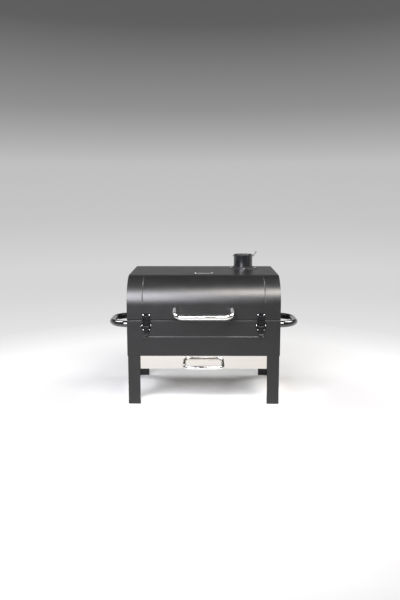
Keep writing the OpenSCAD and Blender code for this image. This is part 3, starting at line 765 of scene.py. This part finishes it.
def make_leg(end, side):
    """A bent angle with a round outer corner and holes for its bolts."""
    name = f"leg_{end}_{side}"
    outer_x, outer_y, inner_x, inner_y = leg_plan(end, side)
    corners = [(outer_x, inner_y, 0), (outer_x, outer_y, LEG_BEND), (inner_x, outer_y, 0)]
    if (end == "front") != (side == "left"):
        corners.reverse()
    leg = bent_sheet(name + "_finished", corners, LEG_SHEET, (0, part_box(name)[1].z), upright)
    round_edges(leg, 0.3 * MM, RIM_SHARP)
    drill(leg, "leg_bolts")
    adopt(leg, name)


# ------------------------------------------------------------------ tubes, rods and the chimney

SIDE_TUBE = 25 * MM
SIDE_BEND = 65 * MM
DRAWER_ROD = 12 * MM
DRAWER_BEND = 24 * MM
BAIL_WIRE = 2.6 * MM
DAMPER_ROD = 4 * MM
DAMPER_LEVER_LEAN = math.radians(35)
PIPE_WALL = 1.2 * MM
COLLAR_RING = 2 * MM


def make_side_handle(side, sign):
    name = "side_handle_" + side
    low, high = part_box(name)
    r = SIDE_TUBE / 2
    wall, out = sign * HALF_W, (high.x if sign > 0 else low.x) - sign * r
    z, y0, y1 = (low.z + high.z) / 2, low.y + r, high.y - r
    path = rounded([((wall, y0, z), 0), ((out, y0, z), SIDE_BEND),
                    ((out, y1, z), SIDE_BEND), ((wall, y1, z), 0)])
    adopt(bar(name + "_finished", path, r, 48), name)


def make_drawer_handle():
    low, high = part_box("drawer_handle")
    r = DRAWER_ROD / 2
    x, out, z = high.x - r, low.y + r, (low.z + high.z) / 2
    path = rounded([((-x, high.y, z), 0), ((-x, out, z), DRAWER_BEND),
                    ((x, out, z), DRAWER_BEND), ((x, high.y, z), 0)])
    adopt(bar("drawer_handle_finished", path, r, 36), "drawer_handle")


def make_bail(side):
    """The latch's wire loop: its ends turn inwards into the lever's cheeks."""
    name = "latch_bail_" + side
    low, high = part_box(name)
    r = BAIL_WIRE / 2
    y, middle = (low.y + high.y) / 2, (low.x + high.x) / 2
    half, foot, top = (high.x - low.x) / 2 - r, low.z + r, high.z - r
    inner = 5.2 * MM
    path = rounded([((middle - inner, y, foot), 0), ((middle - half, y, foot), 1.5 * MM),
                    ((middle - half, y, top), 4 * MM), ((middle + half, y, top), 4 * MM),
                    ((middle + half, y, foot), 1.5 * MM), ((middle + inner, y, foot), 0)], math.radians(12))
    adopt(bar(name + "_finished", path, r, 16, dome=0.4 * MM), name)


def make_damper_rod():
    """The damper's axle, its right end bent up into a lever."""
    low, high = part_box("damper_rod")
    r = DAMPER_ROD / 2
    y, z = (low.y + high.y) / 2, low.z + r
    tip = (high.x - r, y, high.z - r)
    elbow_x = tip[0] - (tip[2] - z) * math.tan(DAMPER_LEVER_LEAN)
    path = rounded([((low.x, y, z), 0), ((elbow_x, y, z), 3 * MM), (tip, 0)])
    adopt(bar("damper_rod_finished", path, r, 20, dome=1.2 * MM), "damper_rod")


def make_chimney():
    """The pipe with its rolled rim, its collar and the damper's disc."""
    low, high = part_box("chimney_tube")
    x, y = (low.x + high.x) / 2, (low.y + high.y) / 2
    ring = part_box("chimney_collar")
    radius = (ring[1].x - ring[0].x) / 2
    roll_r, below_roll = 1 * MM, high.z - 2.2 * MM
    roll_x, roll_z = PIPE_R - 0.2 * MM, high.z - roll_r
    profile = [(PIPE_R - PIPE_WALL, low.z), (PIPE_R, low.z), (PIPE_R, below_roll)]
    for i in range(13):
        turn = math.radians(-60 + 20 * i)
        profile.append((roll_x + roll_r * math.cos(turn), roll_z + roll_r * math.sin(turn)))
    profile.append((PIPE_R - PIPE_WALL, below_roll))
    pipe = lathe("chimney_tube_finished", profile, 96, (x, y, 0))
    hole_r, half_length = DAMPER_ROD / 2 + 0.05 * MM, 60 * MM
    axle_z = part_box("damper_rod")[0].z + DAMPER_ROD / 2
    profile = [(0, -half_length), (hole_r, -half_length), (hole_r, half_length), (0, half_length)]
    cut(pipe, lathe("axle_hole", profile, 24, (x, y, axle_z), (1, 0, 0), closed=False))
    adopt(pipe, "chimney_tube")

    inner, neck, foot, lip = PIPE_R + 0.05 * MM, PIPE_R + COLLAR_RING, LID_TOP, ring[1].z
    plate = foot + SHEET
    profile = [(inner, foot), (radius - 0.3 * MM, foot), (radius, foot + 0.3 * MM), (radius, plate - 0.5 * MM),
               (radius - 0.5 * MM, plate), (neck + 2 * MM, plate)]
    for i in range(1, 6):
        turn = math.pi / 2 * i / 6
        profile.append((neck + 2 * MM * (1 - math.sin(turn)), plate + 2 * MM * (1 - math.cos(turn))))
    profile += [(neck, plate + 2 * MM), (neck, lip - 0.6 * MM), (neck - 0.6 * MM, lip), (inner, lip)]
    collar = lathe("chimney_collar_finished", profile, 96, (x, y, 0))
    drill(collar, "chimney_screws")
    adopt(collar, "chimney_collar")

    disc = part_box("damper_plate")
    disc_r, under, over = (disc[1].x - disc[0].x) / 2, disc[0].z, disc[1].z
    profile = [(0, under), (disc_r - 0.3 * MM, under), (disc_r, under + 0.3 * MM), (disc_r, over - 0.3 * MM),
               (disc_r - 0.3 * MM, over), (0, over)]
    adopt(lathe("damper_plate_finished", profile, 96, (x, y, 0), closed=False), "damper_plate")


# ------------------------------------------------------------------ the other CAD nodes

# Widths of the rounded edges, in millimetres; the wire grates keep their own round bars
EDGE_WIDTHS = {
    "firebox_side_left": 0.5, "firebox_side_right": 0.5,
    "grate_rail_front": 0.3, "grate_rail_rear": 0.3,
    "drawer_rail_left": 0.35, "drawer_rail_right": 0.35,
    "drawer_tray": 0.3, "drawer_front": 0.7,
    "fuel_tray": 0.25, "fuel_grate": 0, "cooking_grate_left": 0, "cooking_grate_right": 0,
    "leg_nuts": 0.5, "badge_plate": 0.3, "badge_rivets": 0.2,
    "hinge_body_leaf_left": 0.3, "hinge_body_leaf_right": 0.3,
    "hinge_lid_leaf_left": 0.3, "hinge_lid_leaf_right": 0.3, "hinge_pins": 0.5,
    "latch_base_left": 0.3, "latch_base_right": 0.3, "latch_keeper_left": 0.3, "latch_keeper_right": 0.3,
    "latch_lever_left": 0.25, "latch_lever_right": 0.25, "latch_pins": 0.2,
}


def dress_cad_nodes():
    """Gives every CAD node its material."""
    for name, node in frame["nodes"].items():
        node.data.materials.clear()
        node.data.materials.append(finish_of(name))


# ------------------------------------------------------------------ studio and camera

def make_studio():
    """A round sweep: a flat pale floor that curves up to a pale wall, the same from every side."""
    flat, wall, height, bend_steps = 2.7, 4.2, 3.3, 14
    bend = wall - flat
    profile = [(0, 0), (flat, 0)]
    for i in range(1, bend_steps + 1):
        turn = math.pi / 2 * i / bend_steps
        profile.append((flat + bend * math.sin(turn), bend * (1 - math.cos(turn))))
    profile.append((wall, height))
    sweep = lathe("studio_sweep", profile, closed=False)
    smooth(sweep)
    sweep.data.materials.append(studio_paper())


def studio_paper():
    """Paper whose tone and glow follow the way from the grill: out along the floor, then up the wall.
    The glow is painted light, faint under the grill so its shadow stays dark and rising outwards. The paper's
    tone is painted light too: pale right under the grill to lift the shadow there, darker further out.
    """
    g = Graph("studio_paper")
    x, y, z = g.add("SeparateXYZ", {"Vector": g.coords}).outputs
    level = g.add("CombineXYZ", {"X": x, "Y": y}).outputs[0]
    way = g.math("ADD", g.add("VectorMath", {0: level}, operation="LENGTH").outputs["Value"], z)
    glow = g.ramp(way, (0.0, 0.02), (0.25, 0.02), (0.5, 0.26), (0.7, 0.36), (1.0, 0.44), (1.46, 0.60),
                  (3.5, 0.58), (4.4, 0.48), (5.2, 0.44), (5.8, 0.20), (6.6, 0.05), (7.5, 0.05))
    # Painted light in the paper's colour: pale under the grill to lift its shadow, darker where the lamps light
    # the floor strongly
    g.set(Base_Color=g.ramp(way, (0.0, 0.70), (0.24, 0.68), (0.36, 0.41), (0.5, 0.31), (1.0, 0.28),
                            (1.5, 0.10), (7.5, 0.10)))
    # Painted light: full glow behind the grill, little in front of it, and some more on the floor near the
    # camera
    behind = g.span(y, 0.16, 1.0, -0.6, 0.3)
    near = g.math("MULTIPLY", g.span(y, 0.46, 0.0, -1.3, -0.8), g.span(y, 0.0, 1.0, -2.6, -1.8))
    g.set(Emission_Strength=g.math("MULTIPLY", glow, g.math("ADD", near, behind)))
    g.set(Emission_Color=(1, 1, 1, 1), Roughness=0.9, Specular_IOR_Level=0.2)
    return g.material


def area_light(name, place, target, size, power, colour):
    """A softbox that looks at the target and that the camera doesn't see."""
    light = bpy.data.lights.new(name, "AREA")
    light.shape = "RECTANGLE"
    light.size, light.size_y = size
    light.energy = power
    light.color = colour
    obj = bpy.data.objects.new(name, light)
    obj.location = place
    obj.rotation_mode = "QUATERNION"
    obj.rotation_quaternion = (Vector(target) - Vector(place)).to_track_quat("-Z", "Y")
    obj.visible_camera = False
    bpy.context.scene.collection.objects.link(obj)


def make_lights():
    """Two keys in front of the lid's curve, two fills above and behind, and a faint even light."""
    lid = Vector((0, FRONT, 0.42))
    away = 1.9
    # name, place across, degrees above the horizon, size, watts, colour
    for name, x, height, size, power, colour in (
            ("softbox_left", -0.70, 31.4, (1.2, 1.25), 110, (0.93, 0.93, 1.0)),
            ("softbox_right", 0.64, 51, (1.2, 0.75), 78, (1.0, 0.95, 0.90))):
        turn = math.radians(height)
        place = lid + Vector((x, -away * math.cos(turn), away * math.sin(turn)))
        area_light(name, place, lid + Vector((x * 0.3, 0, 0)), size, power, colour)
    for side, sign in zip(SIDES, (-1, 1)):
        area_light("fill_" + side, (sign * 1.5, 0.45, 2.1), (0, 0.2, 0), (1.0, 1.0), 36, (1, 1, 1))
    world = bpy.data.worlds.new("studio_air")
    world.use_nodes = True
    back = world.node_tree.nodes["Background"]
    back.inputs["Color"].default_value = (0.95, 0.97, 1.0, 1)
    back.inputs["Strength"].default_value = 0.06
    bpy.context.scene.world = world


def make_camera():
    """Stands in front of the grill and looks slightly down on it."""
    distance, height, tilt, pan = 2.322, 0.771, 9.28, 0.33
    camera = bpy.data.cameras.new("camera")
    camera.lens = 39.0
    camera.sensor_width = 36.0
    obj = bpy.data.objects.new("camera", camera)
    obj.location = (0.0, FRONT - distance, height)
    obj.rotation_euler = (math.radians(90 - tilt), 0, math.radians(pan))
    bpy.context.scene.collection.objects.link(obj)
    bpy.context.scene.camera = obj


dress_cad_nodes()
make_lid()
for side, sign in zip(SIDES, (-1, 1)):
    make_lid_end(side, sign)
make_lid_handle()
make_firebox()
for end in ENDS:
    for side in SIDES:
        make_leg(end, side)
for side, sign in zip(SIDES, (-1, 1)):
    make_side_handle(side, sign)
    make_bail(side)
make_drawer_handle()
make_damper_rod()
make_chimney()
for node, width in EDGE_WIDTHS.items():
    refined(node, width * MM)
for node in SHANKS:
    if node != "badge_rivets":
        make_screws(node)
make_studio()
make_lights()
make_camera()
bpy.context.scene.view_settings.view_transform = "Standard"
